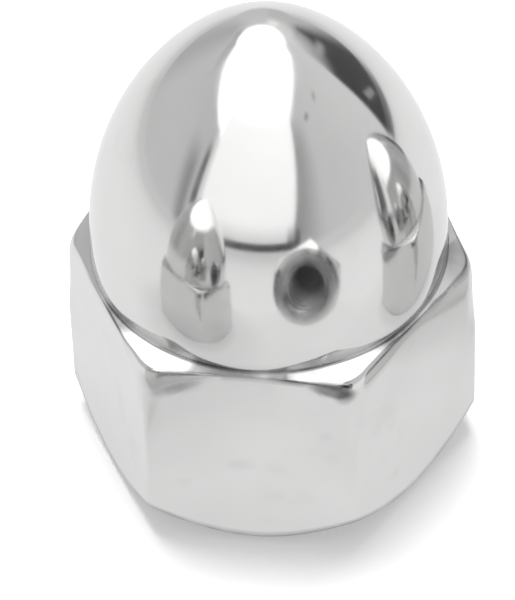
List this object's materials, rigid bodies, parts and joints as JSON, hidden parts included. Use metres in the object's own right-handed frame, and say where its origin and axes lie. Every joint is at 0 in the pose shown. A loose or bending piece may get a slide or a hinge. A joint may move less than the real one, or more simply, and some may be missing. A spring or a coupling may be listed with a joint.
{
  "type": "cap nut",
  "caption": "High-crown cap nut: hexagonal body with rounded shoulders, a tall pointed dome over a blind threaded hole, and a flat bearing face, in mirror-bright chrome.",
  "frame": {"origin": "centre of the flat bearing face, where the nut stands, on the axis of the threaded hole", "axes": "+Z along the hole's axis towards the nose of the dome; opposite corners of the hexagon lie on X, and opposite flats face along Y"},
  "size_m": [0.0164, 0.0142, 0.0215],
  "materials": {
    "chrome": "mirror-bright chrome plating over polished steel"
  },
  "bodies": {
    "root": {"cap_nut": "chrome"}
  },
  "joints": []
}
